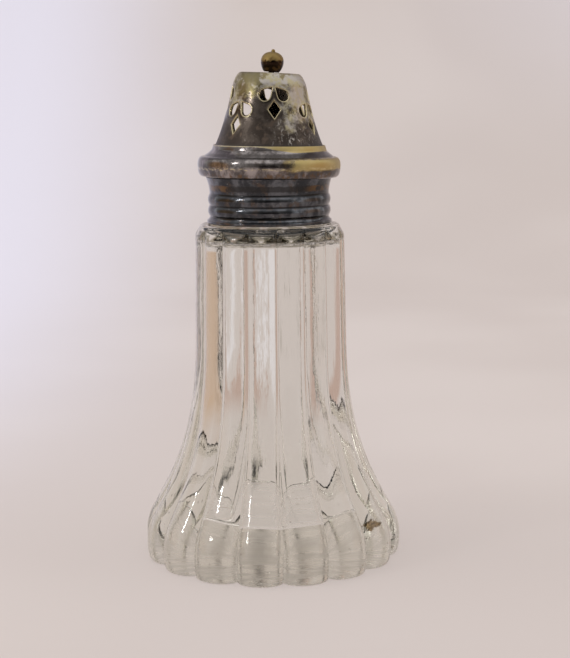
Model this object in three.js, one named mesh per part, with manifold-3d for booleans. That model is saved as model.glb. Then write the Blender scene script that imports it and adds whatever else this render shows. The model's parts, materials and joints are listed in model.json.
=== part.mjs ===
// Sugar caster: a ribbed glass body, a metal collar bedded on its neck, and a pierced cover that pulls off.
// Millimetres, +Z up, standing on z = 0 with the glass's axis on Z. Angles run from the front, -Y, toward +X.
import * as THREE from "three";
import { mergeVertices } from "three/addons/utils/BufferGeometryUtils.js";
import Module from "manifold-3d";

const wasm = await Module();
wasm.setup();

// Clearances: between pieces that seat on each other, and between the sleeve and the tube that it slides on
const seatGap = 0.3;
const slideGap = 0.35;

// The pressed glass is one piece in life. Its shoulder and neck are a solid of their own, just above the body,
// so that each of the two is simple and the way in through the neck stays open.
const seamGap = 0.3;

// Sheet metal: the collar, the girdle and the dome are pressed from the same gauge
const sheet = 0.8;

// Glass body: radii are at the crests of the ribs
const footRadius = 41.2;
const baseSetback = 1.7;
const footBulgeHeight = 6.2;
const flareFootSetback = 1.7;
const flareFootRise = 7.4;
const waistRadius = 24.2;
const waistHeight = 66.0;
const shoulderSetback = 0.6;
const shoulderRound = 2.6;
const shoulderCornerDrop = 4.4;
const shoulderHeight = 106.4;
const neckRadius = 15.2;
const neckHeight = 16.6;
const neckWall = 2.6;
const shoulderWall = 5.0;
const cavityTopDrop = 8.4;
const cavitySpread = 3.0;
const roofThickness = 2.4;
const cavityFloorHeight = 11.0;
const cavityFloorRound = 4.0;
// Where the flare's curve is pulled to: a share of the way out and a share of the way down
const flareUpperShares = [0.06, 0.44];
const flareLowerShares = [0.34, 0.67];
const cavityEaseShare = 0.45;

// Ribs: rounded crests with sharp valleys between them, deepening down the flare
const ribCount = 16;
const firstValleyDegrees = 5;
const facesPerRib = 6;
const ribDepthTop = 1.2;
const ribDepthFoot = 4.2;

// Collar: a flared rim on the glass, two beads, a concave band and a tube that the cover's sleeve slides on
const plasterThickness = 0.7;
const collarHeight = 14.4;
const collarStep = 1.45;
const collarTopFlare = 1.15;
const collarRimFlare = 0.85;
const beadProud = 0.55;
const tubeHeight = 5.2;
const bandEaseShare = 0.48;
// Heights on the collar, as shares of its height: rim, first groove, second groove and foot of the concave band
const rimShare = 0.1;
const lowerGrooveShare = 0.15;
const middleGrooveShare = 0.39;
const bandFootShare = 0.63;

// Cover: how far it leans to the right, because it is seated askew
const coverLeanDegrees = 1.0;

// Girdle: the rounded shoulder of the cover, whose skirt comes down over the collar's top. Heights are from
// its floor, which rests on the collar, and radii step out and in from the skirt up to the ridge.
const skirtDrop = 0.7;
const skirtRim = 0.65;
const girdleBulge = 1.55;
const girdleBulgeHeight = 2.9;
const girdleShoulderSetback = 2.0;
const girdleShoulderRise = 2.7;
const girdleRidgeSetback = 2.5;
const girdleRidgeRise = 2.7;
const ridgeLip = 0.35;
const ridgeLipHeight = 0.5;
const shoulderEaseShare = 0.8;

// Sleeve: a split spring ring held inside the girdle by its own lip
const sleeveWall = 0.6;
const sleeveHeight = 4.7;
const sleeveFoot = 0.2;
const sleeveLip = 1.2;
const sleeveLipThickness = 0.6;
const sleeveSplit = 1.6;

// Dome: heights are from the girdle's floor. The crown is bent over a little to the right.
const crownHeight = 31.25;
const crownFlatRadius = 8.9;
const crownEdgeRound = 2.45;
const crownEdgeDrop = 3.4;
const crownTiltDegrees = 1.8;
const domeMiddleLowerShares = [0.36, 0.22];
const domeMiddleUpperShares = [0.74, 0.6];

// Piercings: groups of two teardrops over a lozenge, alternately high and low round the dome
const highGroupDegrees = [6.5, 96.5, 192, 271.5];
const lowGroupDegrees = [-46, 65, 130, 227];
const highGroupShare = 0.52;
const lowGroupShare = 0.315;
const teardropRise = 4.35;
const teardropSpreadDegrees = 13.6;
const teardropLeanDegrees = 43;
const teardropRadius = 1.75;
const teardropReach = 3.3;
const lozengeWidth = 3.7;
const lozengeHeight = 5.3;

// Finial: an onion-shaped turned knob, a little off centre and leaning in an oversize hole
const finialShift = 0.5;
const finialLeanDegrees = 5;
const finialBaseRadius = 2.6;
const finialBallRadius = 3.55;
const finialBallHeight = 3.1;
const finialNippleRadius = 0.6;
const finialNippleRise = 3.15;
const finialTip = 0.75;
const finialEaseShare = 0.95;
const studRadius = 0.9;
const studEnd = 0.25;
const crownHoleGap = 0.2;
const washerOverlap = 1.4;
const washerThickness = 0.5;
const nutWall = 1.1;
const nutThickness = 1.7;

// How finely the curves are cut into flats
const ringFaces = 36;
const smallRingFaces = 16;
const fine = 6;
const medium = 4;
const coarse = 3;

const radians = THREE.MathUtils.degToRad;
const point = (radius, height) => new THREE.Vector2(radius, height);

// Sizes of the glass that follow from the ones above
const baseRadius = footRadius - baseSetback;
const flareFootRadius = footRadius - flareFootSetback;
const flareFootHeight = footBulgeHeight + flareFootRise;
const shoulderRadius = waistRadius - shoulderSetback;
const shoulderCornerHeight = shoulderHeight - shoulderCornerDrop;
const shoulderTopRadius = shoulderRadius - shoulderRound;
const mouthRadius = neckRadius - neckWall;
const neckTop = shoulderHeight + neckHeight;
const roofHeight = shoulderHeight - roofThickness;
const cavityTopHeight = shoulderHeight - cavityTopDrop;
const seamShare = (cavityTopHeight - waistHeight) / (shoulderCornerHeight - waistHeight);
const seamRadius = THREE.MathUtils.lerp(waistRadius, shoulderRadius, seamShare);
const cavityTopRadius = shoulderRadius - shoulderWall;
const cavityFootRadius = cavityTopRadius + cavitySpread;

// The collar is built outward from the neck, and the cover outward from the collar
const tubeBore = neckRadius + seatGap + plasterThickness + seatGap;
const tubeRadius = tubeBore + sheet;
const collarFoot = shoulderHeight + seatGap;
const collarTop = collarFoot + collarHeight;
const collarWaistRadius = tubeRadius + collarStep;
const collarTopRadius = collarWaistRadius + collarTopFlare;
const collarRimRadius = collarWaistRadius + collarRimFlare;
const collarBore = collarWaistRadius - sheet;
const sleeveBore = tubeRadius + slideGap;
const sleeveRadius = sleeveBore + sleeveWall;
const girdleMouth = sleeveRadius + seatGap;
const coverLean = radians(coverLeanDegrees);
const coverSeat = collarTop + seatGap + collarTopRadius * Math.sin(coverLean);
const skirtBore = collarTopRadius + seatGap + skirtDrop * Math.sin(coverLean);
const girdleUnderRadius = skirtBore + skirtRim;
const girdleBulgeRadius = girdleUnderRadius + girdleBulge;
const girdleShoulderRadius = girdleBulgeRadius - girdleShoulderSetback;
const girdleShoulderHeight = girdleBulgeHeight + girdleShoulderRise;
const girdleRidgeRadius = girdleShoulderRadius - girdleRidgeSetback;
const girdleRidgeHeight = girdleShoulderHeight + girdleRidgeRise;
const ledgeHeight = girdleRidgeHeight - ridgeLipHeight;
const domeFootRadius = girdleRidgeRadius - ridgeLip - seatGap;
const domeFootHeight = ledgeHeight + seatGap;
const crownEdgeRadius = crownFlatRadius + crownEdgeRound;
const crownHoleRadius = studRadius + finialShift + crownHoleGap;

// What is threaded on the finial's stud under the crown: depths below the plane that its base stands on
const finialNippleHeight = finialBallHeight + finialNippleRise;
const finialHeight = finialNippleHeight + finialTip;
const boltBore = studRadius + seatGap;
const washerDepth = seatGap + sheet + slideGap + washerThickness;
const nutDepth = washerDepth + seatGap + nutThickness;
const studLength = nutDepth + studEnd;

// Outlines: points of a curve, or of a straight line, in the plane of radius and height
const bend = (from, pull, to, parts) => new THREE.QuadraticBezierCurve(from, pull, to).getPoints(parts);
const sweep = (from, pullA, pullB, to, parts) =>
  new THREE.CubicBezierCurve(from, pullA, pullB, to).getPoints(parts);

// Runs of points joined end to end, without the doubled point where two runs meet
function joined(...runs) {
  const points = runs.flat();
  return points.filter((p, i) => i === 0 || p.distanceTo(points[i - 1]) > 0);
}

// A geometry with only its positions, each corner shared by the faces that meet there
function welded(geometry) {
  geometry.deleteAttribute("normal");
  geometry.deleteAttribute("uv");
  return mergeVertices(geometry);
}

// A turned solid: the outline goes up the outside and comes back down the inside, or runs from axis to axis
function turned(outline, faces = ringFaces) {
  const onAxis = outline[0].x === 0 && outline.at(-1).x === 0;
  const closed = onAxis ? outline : [...outline, outline[0]];
  const geometry = new THREE.LatheGeometry(closed, faces);
  return welded(geometry.rotateX(Math.PI / 2));
}

// Joining and cutting
function solid(geometry) {
  const vertProperties = Float32Array.from(geometry.attributes.position.array);
  const triVerts = Uint32Array.from(geometry.index.array);
  return new wasm.Manifold(new wasm.Mesh({ numProp: 3, vertProperties, triVerts }));
}

function shaped(manifold) {
  const mesh = manifold.getMesh();
  const geometry = new THREE.BufferGeometry();
  geometry.setAttribute("position", new THREE.BufferAttribute(mesh.vertProperties, 3));
  geometry.setIndex(new THREE.BufferAttribute(mesh.triVerts, 1));
  return geometry;
}

// Materials
const glass = new THREE.MeshStandardMaterial({ color: 0xdfe3dc, roughness: 0.05, metalness: 0 });
const plaster = new THREE.MeshStandardMaterial({ color: 0xd8d0bf, roughness: 0.95, metalness: 0 });
const plate = new THREE.MeshStandardMaterial({ color: 0x6a6862, roughness: 0.35, metalness: 1 });
const brass = new THREE.MeshStandardMaterial({ color: 0x9a7a3c, roughness: 0.35, metalness: 1 });

function piece(name, geometry, material) {
  const mesh = new THREE.Mesh(geometry, material);
  mesh.name = name;
  return mesh;
}

// Glass body
function flarePull([outShare, downShare]) {
  return point(
    waistRadius + (flareFootRadius - waistRadius) * outShare,
    waistHeight - (waistHeight - flareFootHeight) * downShare,
  );
}

function bodyOutside() {
  const base = point(baseRadius, 0);
  const bulge = point(footRadius, footBulgeHeight);
  const flareFoot = point(flareFootRadius, flareFootHeight);
  const waist = point(waistRadius, waistHeight);
  const bulgeTopPull = point(footRadius, (footBulgeHeight + flareFootHeight) / 2);
  return joined(
    bend(base, point(footRadius, 0), bulge, coarse),
    bend(bulge, bulgeTopPull, flareFoot, coarse),
    sweep(flareFoot, flarePull(flareLowerShares), flarePull(flareUpperShares), waist, fine),
    [point(seamRadius, cavityTopHeight)],
  );
}

function bodyInside() {
  const floorRoundTop = point(cavityFootRadius, cavityFloorHeight + cavityFloorRound);
  const floorEdge = point(cavityFootRadius - cavityFloorRound, cavityFloorHeight);
  const easePull = point(cavityTopRadius, cavityTopHeight * cavityEaseShare);
  return joined(
    bend(point(cavityTopRadius, cavityTopHeight), easePull, floorRoundTop, medium),
    bend(floorRoundTop, point(cavityFootRadius, cavityFloorHeight), floorEdge, coarse),
  );
}

function shoulderOutside() {
  return joined(
    [point(seamRadius, cavityTopHeight + seamGap)],
    bend(
      point(shoulderRadius, shoulderCornerHeight),
      point(shoulderRadius, shoulderHeight),
      point(shoulderTopRadius, shoulderHeight),
      fine,
    ),
  );
}

function neckInside() {
  const cavityWall = point(cavityTopRadius, cavityTopHeight + seamGap);
  return joined(
    [point(neckRadius, shoulderHeight), point(neckRadius, neckTop), point(mouthRadius, neckTop)],
    bend(point(mouthRadius, roofHeight), point(cavityTopRadius, roofHeight), cavityWall, coarse),
  );
}

// How far a point of the outside stands back from the crest line, by where it lies across its rib.
// The valleys run out, in pointed ends, where the shoulder rounds in by more than their depth.
function ribSetback(radius, column) {
  const across = (column % facesPerRib) / facesPerRib;
  const flareShare = Math.max(0, (radius - shoulderRadius) / (footRadius - shoulderRadius));
  const depth = THREE.MathUtils.lerp(ribDepthTop, ribDepthFoot, flareShare);
  const roundedIn = Math.max(0, shoulderRadius - radius);
  return Math.max(0, depth * (2 * across - 1) ** 2 - roundedIn);
}

// A turned solid whose outline has ribs from its first ribbed row through its last
function ribbed(outline, firstRow, lastRow) {
  const geometry = new THREE.LatheGeometry(outline, ribCount * facesPerRib, radians(firstValleyDegrees));
  const position = geometry.attributes.position;
  for (let i = 0; i < position.count; i++) {
    const row = i % outline.length;
    if (row < firstRow || row > lastRow) continue;
    const radius = outline[row].x;
    const column = Math.floor(i / outline.length);
    const share = 1 - ribSetback(radius, column) / radius;
    position.setX(i, position.getX(i) * share);
    position.setZ(i, position.getZ(i) * share);
  }
  return welded(geometry.rotateX(Math.PI / 2));
}

function glassBody() {
  const outside = bodyOutside();
  return ribbed([point(0, 0), ...outside, ...bodyInside(), point(0, cavityFloorHeight)], 1, outside.length);
}

function glassNeck() {
  const outside = shoulderOutside();
  const inside = neckInside();
  return ribbed([inside.at(-1), ...outside, ...inside], 1, outside.length);
}

// Plaster that beds the collar on the glass neck
function plasterBed() {
  const bore = neckRadius + seatGap;
  const skirt = collarBore - seatGap;
  const tubeFill = tubeBore - seatGap;
  const step = collarTop - sheet - seatGap;
  const top = neckTop - seatGap;
  return turned([
    point(bore, collarFoot),
    point(skirt, collarFoot),
    point(skirt, step),
    point(tubeFill, step),
    point(tubeFill, top),
    point(bore, top),
  ]);
}

// Collar
function bead(fromHeight, toHeight) {
  const middle = (fromHeight + toHeight) / 2;
  const pull = point(collarWaistRadius + 2 * beadProud, middle);
  return bend(point(collarWaistRadius, fromHeight), pull, point(collarWaistRadius, toHeight), coarse);
}

function collar() {
  const at = (share) => collarFoot + collarHeight * share;
  const rimTop = point(collarRimRadius, at(rimShare) - beadProud);
  const lowerGroove = point(collarWaistRadius, at(lowerGrooveShare));
  const bandFoot = point(collarWaistRadius, at(bandFootShare));
  const bandPull = point(collarWaistRadius, THREE.MathUtils.lerp(bandFoot.y, collarTop, bandEaseShare));
  const top = point(collarTopRadius, collarTop);
  return turned(
    joined(
      [point(collarBore, collarFoot), point(collarRimRadius, collarFoot)],
      bend(rimTop, point(collarWaistRadius, at(rimShare)), lowerGroove, coarse),
      bead(at(lowerGrooveShare), at(middleGrooveShare)),
      bead(at(middleGrooveShare), at(bandFootShare)),
      bend(bandFoot, bandPull, top, medium),
      [
        point(tubeRadius, collarTop),
        point(tubeRadius, collarTop + tubeHeight),
        point(tubeBore, collarTop + tubeHeight),
        point(tubeBore, collarTop - sheet),
        point(collarBore, collarTop - sheet),
      ],
    ),
  );
}

// Girdle: the outline of its skin, drawn in by a wall for the inside
function girdleSkin(wall, foot) {
  const under = point(girdleUnderRadius, foot);
  const bulge = point(girdleBulgeRadius - wall, girdleBulgeHeight);
  const shoulder = point(girdleShoulderRadius - wall, girdleShoulderHeight - wall / 2);
  const ridge = point(girdleRidgeRadius - wall, ledgeHeight - wall);
  const eased = THREE.MathUtils.lerp(shoulder.y, ridge.y, shoulderEaseShare);
  return joined(
    bend(under, point(bulge.x, foot), bulge, coarse),
    bend(bulge, point(bulge.x, shoulder.y), shoulder, coarse),
    bend(shoulder, point(ridge.x, eased), ridge, coarse),
  );
}

function coverGirdle() {
  const lipBore = girdleRidgeRadius - ridgeLip;
  const ledgeBore = domeFootRadius - 2 * sheet;
  return turned([
    point(girdleMouth, 0),
    point(skirtBore, 0),
    point(skirtBore, -skirtDrop),
    ...girdleSkin(0, -skirtDrop),
    point(girdleRidgeRadius, girdleRidgeHeight),
    point(lipBore, girdleRidgeHeight),
    point(lipBore, ledgeHeight),
    point(ledgeBore, ledgeHeight),
    point(ledgeBore, ledgeHeight - sheet),
    ...girdleSkin(sheet, sheet).reverse(),
    point(girdleMouth, sheet),
  ]);
}

// Split sleeve, with the lip that the girdle's floor holds
function bezelSleeve() {
  const lipFoot = sheet + seatGap;
  const lipTop = lipFoot + sleeveLipThickness;
  const lipRadius = sleeveRadius + sleeveLip;
  const ring = turned([
    point(sleeveBore, sleeveFoot),
    point(sleeveRadius, sleeveFoot),
    point(sleeveRadius, lipFoot),
    point(lipRadius, lipFoot),
    point(lipRadius, lipTop),
    point(sleeveRadius, lipTop),
    point(sleeveRadius, sleeveFoot + sleeveHeight),
    point(sleeveBore, sleeveFoot + sleeveHeight),
  ]);
  const slot = new THREE.BoxGeometry(sleeveSplit, girdleBulgeRadius, 4 * sleeveHeight);
  slot.translate(0, girdleBulgeRadius / 2 + tubeBore / 2, 0);
  return shaped(solid(ring).subtract(solid(welded(slot))));
}

// Pierced dome
function domeSkin(wall) {
  const foot = point(domeFootRadius - wall, domeFootHeight);
  const edge = point(crownEdgeRadius - wall, crownHeight - crownEdgeDrop);
  const flat = point(crownFlatRadius - wall, crownHeight - wall);
  const pull = ([inShare, upShare]) =>
    point(THREE.MathUtils.lerp(foot.x, edge.x, inShare), THREE.MathUtils.lerp(foot.y, edge.y, upShare));
  return joined(
    sweep(foot, pull(domeMiddleLowerShares), pull(domeMiddleUpperShares), edge, fine),
    bend(edge, point((edge.x + flat.x) / 2 + wall, flat.y), flat, coarse),
  );
}

function teardrop(leanDegrees) {
  const lean = radians(leanDegrees);
  const spread = Math.acos(teardropRadius / teardropReach);
  const tip = Math.PI / 2 + lean;
  const outline = new THREE.Shape();
  outline.moveTo(teardropReach * Math.cos(tip), teardropReach * Math.sin(tip));
  outline.absarc(0, 0, teardropRadius, tip + spread, tip - spread + 2 * Math.PI, false);
  return outline;
}

function lozenge() {
  return new THREE.Shape([
    point(0, -lozengeHeight / 2),
    point(lozengeWidth / 2, 0),
    point(0, lozengeHeight / 2),
    point(-lozengeWidth / 2, 0),
  ]);
}

// A punch that cuts one wall of the dome, from inside it outward
function punch(outline, degrees, height) {
  const geometry = new THREE.ExtrudeGeometry(outline, {
    depth: domeFootRadius,
    bevelEnabled: false,
    curveSegments: fine,
  });
  geometry.rotateX(Math.PI / 2);
  geometry.translate(0, -crownFlatRadius / 2, height);
  geometry.rotateZ(radians(degrees));
  return solid(welded(geometry));
}

function groupPunches(degrees, lozengeCentre) {
  const teardropCentre = lozengeCentre + teardropRise;
  return [
    punch(lozenge(), degrees, lozengeCentre),
    punch(teardrop(-teardropLeanDegrees), degrees - teardropSpreadDegrees, teardropCentre),
    punch(teardrop(teardropLeanDegrees), degrees + teardropSpreadDegrees, teardropCentre),
  ];
}

function piercedDome() {
  const bell = turned([
    ...domeSkin(0),
    point(crownHoleRadius, crownHeight),
    point(crownHoleRadius, crownHeight - sheet),
    ...domeSkin(sheet).reverse(),
  ]);
  const heightAt = (share) => THREE.MathUtils.lerp(domeFootHeight, crownHeight, share);
  const punches = [
    ...highGroupDegrees.flatMap((degrees) => groupPunches(degrees, heightAt(highGroupShare))),
    ...lowGroupDegrees.flatMap((degrees) => groupPunches(degrees, heightAt(lowGroupShare))),
  ];
  return bentOver(shaped(punches.reduce((dome, cut) => dome.subtract(cut), solid(bell))));
}

// Lowers the right side and lifts the left, from nothing at the foot to the full tilt at the crown
function bentOver(dome) {
  const position = dome.attributes.position;
  for (let i = 0; i < position.count; i++) {
    const share = (position.getZ(i) - domeFootHeight) / (crownHeight - domeFootHeight);
    const drop = position.getX(i) * Math.tan(radians(crownTiltDegrees)) * share;
    position.setZ(i, position.getZ(i) - drop);
  }
  return dome;
}

// Finial, with the stud under it, from the plane that its base stands on
function finialKnob() {
  const base = point(finialBaseRadius, 0);
  const ball = point(finialBallRadius, finialBallHeight);
  const nipple = point(finialNippleRadius, finialNippleHeight);
  const easeUp = THREE.MathUtils.lerp(ball.y, nipple.y, finialEaseShare);
  return turned(
    joined(
      [point(0, -studLength), point(studRadius, -studLength), point(studRadius, 0)],
      bend(base, point(ball.x, 0), ball, coarse),
      sweep(ball, point(ball.x, easeUp), point(nipple.x, easeUp), nipple, medium),
      bend(nipple, point(nipple.x, finialHeight), point(0, finialHeight), coarse),
    ),
    smallRingFaces,
  );
}

function bored(outline, thickness) {
  outline.holes.push(new THREE.Path().absarc(0, 0, boltBore, 0, 2 * Math.PI, true));
  const flat = { depth: thickness, bevelEnabled: false, curveSegments: smallRingFaces / 2 };
  return welded(new THREE.ExtrudeGeometry(outline, flat));
}

function finialWasher() {
  const radius = crownHoleRadius + washerOverlap;
  return bored(new THREE.Shape().absarc(0, 0, radius, 0, 2 * Math.PI, false), washerThickness);
}

function finialNut() {
  const cornerRadius = (2 * (boltBore + nutWall)) / Math.sqrt(3);
  const corners = Array.from({ length: 6 }, (_, i) =>
    point(cornerRadius * Math.cos((i * Math.PI) / 3), cornerRadius * Math.sin((i * Math.PI) / 3)),
  );
  return bored(new THREE.Shape(corners), nutThickness);
}

// Assembly
const caster = new THREE.Group();
caster.add(piece("glass_body", glassBody(), glass));
caster.add(piece("glass_neck", glassNeck(), glass));
caster.add(piece("plaster_bed", plasterBed(), plaster));
caster.add(piece("collar", collar(), plate));

const cover = new THREE.Group();
cover.position.z = coverSeat;
cover.rotation.y = coverLean;
cover.add(piece("bezel_sleeve", bezelSleeve(), brass));
cover.add(piece("cover_girdle", coverGirdle(), plate));
cover.add(piece("pierced_dome", piercedDome(), plate));
caster.add(cover);

const finialSet = new THREE.Group();
finialSet.position.set(finialShift, 0, crownHeight + seatGap);
finialSet.rotation.y = radians(finialLeanDegrees);
finialSet.add(piece("finial", finialKnob(), brass));
const washer = piece("finial_washer", finialWasher(), brass);
washer.position.z = -washerDepth;
const nut = piece("finial_nut", finialNut(), brass);
nut.position.z = -nutDepth;
finialSet.add(washer, nut);
cover.add(finialSet);

export default caster;
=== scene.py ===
# Sugar caster: looks for the ribbed glass, the bedded collar and the pierced pull-off cover.
# Sizes are millimetres unless a heading says otherwise. The meshes are metres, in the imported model's frame.
import json
import math

import bpy
import numpy as np
from mathutils import Matrix, Vector
from mathutils.geometry import delaunay_2d_cdt


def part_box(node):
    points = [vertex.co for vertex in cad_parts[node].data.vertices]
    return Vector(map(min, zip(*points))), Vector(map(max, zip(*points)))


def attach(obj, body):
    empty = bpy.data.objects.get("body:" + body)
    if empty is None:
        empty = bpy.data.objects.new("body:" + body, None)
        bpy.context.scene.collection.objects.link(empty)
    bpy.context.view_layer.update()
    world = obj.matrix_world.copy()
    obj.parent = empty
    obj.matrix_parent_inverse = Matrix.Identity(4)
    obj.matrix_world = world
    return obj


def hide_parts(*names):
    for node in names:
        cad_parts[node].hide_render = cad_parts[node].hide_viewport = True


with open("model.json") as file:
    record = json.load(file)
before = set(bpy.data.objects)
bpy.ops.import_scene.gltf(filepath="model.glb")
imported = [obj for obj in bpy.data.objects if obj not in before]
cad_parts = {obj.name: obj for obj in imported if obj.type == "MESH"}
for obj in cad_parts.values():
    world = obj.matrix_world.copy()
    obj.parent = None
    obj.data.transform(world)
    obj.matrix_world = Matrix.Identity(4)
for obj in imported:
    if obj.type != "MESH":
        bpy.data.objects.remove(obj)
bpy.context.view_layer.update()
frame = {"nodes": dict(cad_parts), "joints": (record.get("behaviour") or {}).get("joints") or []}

MM = 0.001
SEAT_GAP = 0.3
SHEET = 0.8

# Where the pieces stand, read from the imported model
NECK_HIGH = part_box("glass_neck")[1]
COLLAR_LOW, COLLAR_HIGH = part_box("collar")
TURN = next(joint for joint in frame["joints"] if joint["name"] == "cover_turn")
COVER_AXIS = Vector(TURN["axis"]).normalized()
COVER_SEAT = Vector(TURN["pos_m"])
SEAT_HEIGHT = COVER_SEAT.z / MM
COVER_LEAN = math.atan2(COVER_AXIS.x, COVER_AXIS.z)
COVER_PLACE = Matrix.Translation(COVER_SEAT) @ Matrix.Rotation(COVER_LEAN, 4, "Y")


# Outlines in the plane of radius and height
SAME_PLACE = 1e-9
SMOOTH_COSINE = math.cos(math.radians(28))
SHARP_ANGLE = math.radians(42)
ROUND_LIMIT_SHARE = 0.45


def bend(start, pull, end, parts):
    """Points of a curve drawn from start to end and pulled toward one point."""
    t = np.linspace(0, 1, parts + 1)[:, None]
    return (1 - t) ** 2 * np.array(start) + 2 * (1 - t) * t * np.array(pull) + t**2 * np.array(end)


def sweep(start, pull_a, pull_b, end, parts):
    """Points of a curve drawn from start to end and pulled toward two points."""
    t = np.linspace(0, 1, parts + 1)[:, None]
    a, b, c, d = (np.array(p) for p in (start, pull_a, pull_b, end))
    return (1 - t) ** 3 * a + 3 * (1 - t) ** 2 * t * b + 3 * (1 - t) * t**2 * c + t**3 * d


def line(start, end, parts=1):
    """Evenly spaced points from start to end."""
    t = np.linspace(0, 1, parts + 1)[:, None]
    return (1 - t) * np.array(start) + t * np.array(end)


def between(start, end, share):
    """The point that lies a share of the way, or a share each way, from start to end."""
    return start + (np.array(end) - start) * share


def flared(start, end, shares, parts):
    """A curve pulled toward two points, which lie those shares of the way from start to end."""
    return sweep(start, *(between(start, end, share) for share in shares), end, parts)


def joined(*runs):
    """Runs of points joined end to end, without the doubled points."""
    points = np.vstack([np.atleast_2d(run) for run in runs])
    keep = [0] + [i for i in range(1, len(points)) if np.abs(points[i] - points[i - 1]).max() > SAME_PLACE]
    return points[keep]


def rounded(outline, radius, parts=3, closed=True):
    """The outline with each corner that is not already smooth rounded by about that radius."""
    count = len(outline)
    points = []
    for i, here in enumerate(outline):
        before, after = outline[i - 1], outline[(i + 1) % count]
        if not closed and i in (0, count - 1):
            points.append(here)
            continue
        into, out = here - before, after - here
        length_in, length_out = np.linalg.norm(into), np.linalg.norm(out)
        cosine = into @ out / (length_in * length_out)
        if cosine > SMOOTH_COSINE:
            points.append(here)
            continue
        reach = min(radius, length_in * ROUND_LIMIT_SHARE, length_out * ROUND_LIMIT_SHARE)
        start = here - into / length_in * reach
        end = here + out / length_out * reach
        points.extend(bend(start, here, end, parts))
    return np.array(points)


def mesh_object(name, vertices, faces, material, sharp=SHARP_ANGLE):
    """A smooth-shaded mesh object from points in millimetres."""
    mesh = bpy.data.meshes.new(name)
    mesh.from_pydata([tuple(v) for v in np.asarray(vertices) * MM], [], faces)
    mesh.validate()
    mesh.shade_smooth()
    mesh.set_sharp_from_angle(angle=sharp)
    mesh.materials.append(material)
    made = bpy.data.objects.new(name, mesh)
    bpy.context.scene.collection.objects.link(made)
    return made


def full_turn(columns):
    return np.arange(columns) * 2 * math.pi / columns


def turned(name, outline, angles, material, setback=None, split=False):
    """A solid of revolution. It closes on itself, or runs from axis to axis; setback moves points inward.
    A split one ends at its first and last angle."""
    columns = len(angles)
    vertices, index = [], []
    for row, (radius, height) in enumerate(outline):
        if radius == 0:
            index.append([len(vertices)] * columns)
            vertices.append((0.0, 0.0, height))
            continue
        index.append(list(range(len(vertices), len(vertices) + columns)))
        for column, angle in enumerate(angles):
            r = radius - (setback(row, column) if setback else 0.0)
            vertices.append((r * math.sin(angle), -r * math.cos(angle), height))
    pairs = list(zip(index[:-1], index[1:]))
    if outline[0][0] != 0:
        pairs.append((index[-1], index[0]))
    faces = []
    for low, high in pairs:
        for column in range(columns - 1 if split else columns):
            after = (column + 1) % columns
            face = list(dict.fromkeys((low[column], low[after], high[after], high[column])))
            if len(face) > 2:
                faces.append(face)
    if split:
        faces.append([ring[0] for ring in index])
        faces.append([ring[-1] for ring in reversed(index)])
    return mesh_object(name, vertices, faces, material)


# Node trees
class Value:
    """What a node puts out. It takes sums, differences and products."""

    def __init__(self, nodes, socket):
        self.nodes = nodes
        self.socket = socket

    def __add__(self, other):
        return self.nodes.math("ADD", self, other)

    def __sub__(self, other):
        return self.nodes.math("SUBTRACT", self, other)

    def __mul__(self, other):
        return self.nodes.math("MULTIPLY", self, other)


class Nodes:
    """Short calls for building a node tree. The places x, y and z are in the given unit."""

    def __init__(self, tree, coordinates, unit):
        self.tree = tree
        self.place = self.node("TexCoord", output=coordinates)
        parts = [self.node("SeparateXYZ", {0: self.place}, axis) for axis in range(3)]
        self.x, self.y, self.z = (part * (1 / unit) for part in parts)

    def put(self, given, target):
        """Link a value, or set a plain one."""
        if isinstance(given, Value):
            self.tree.links.new(given.socket, target)
        elif isinstance(given, tuple) and target.type == "RGBA":
            target.default_value = (*given, 1.0)
        else:
            target.default_value = given

    def node(self, kind, inputs=(), output=0, **settings):
        """A new node's output, with the node's settings made and its inputs filled."""
        made = self.tree.nodes.new("ShaderNode" + kind)
        for key, setting in settings.items():
            setattr(made, key, setting)
        for key, given in dict(inputs).items():
            self.put(given, made.inputs[key])
        return Value(self, made.outputs[output])

    def math(self, kind, a, b=0.0):
        return self.node("Math", {0: a, 1: b}, operation=kind)

    def span(self, value, low, high, out_low=0.0, out_high=1.0, form="SMOOTHSTEP"):
        """value mapped from low..high to out_low..out_high, held at both ends."""
        inputs = dict(enumerate((value, low, high, out_low, out_high)))
        return self.node("MapRange", inputs, interpolation_type=form)

    def band(self, value, centre, half, soft):
        """1 within half of the centre, falling to 0 over soft."""
        away = self.math("ABSOLUTE", value - centre)
        return self.span(away, half, half + soft, 1.0, 0.0)

    def noise(self, size, detail, roughness, stretch, shift, distortion=0.0):
        """Cloudy values of about that size; stretch above 1 shortens the clouds along an axis."""
        place = {"Vector": self.place, "Scale": stretch, "Location": (shift, shift, shift)}
        look = {"Scale": 1 / (size * MM), "Detail": detail, "Roughness": roughness, "Distortion": distortion}
        return self.node("TexNoise", {"Vector": self.node("Mapping", place), **look}, "Fac")

    def patches(self, noise, ramp):
        return self.span(self.noise(*noise), *ramp)

    def mix(self, share, a, b):
        return self.node("Mix", {"Factor": share, "A": a, "B": b}, "Result", data_type="RGBA")

    def layered(self, colour, *layers):
        """The colour under layers of (share, tone)."""
        for share, tone in layers:
            colour = self.mix(share, colour, tone)
        return colour

    def any_of(self, first, *others):
        for other in others:
            first = self.math("MAXIMUM", first, other)
        return first

    def uneven(self, noise, reach):
        """A noise as an offset of up to reach either way."""
        return (self.noise(*noise) - 0.5) * (2 * reach)

    def from_axis(self):
        """Distance from the upright axis."""
        return self.math("SQRT", self.x * self.x + self.y * self.y)

    def degrees(self, across, along):
        """The angle whose sides are those two."""
        return self.math("ARCTAN2", across, along) * (180 / math.pi)

    def ray(self, kind):
        """1 for light rays of one kind, such as Camera."""
        return self.node("LightPath", output="Is %s Ray" % kind)


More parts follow.
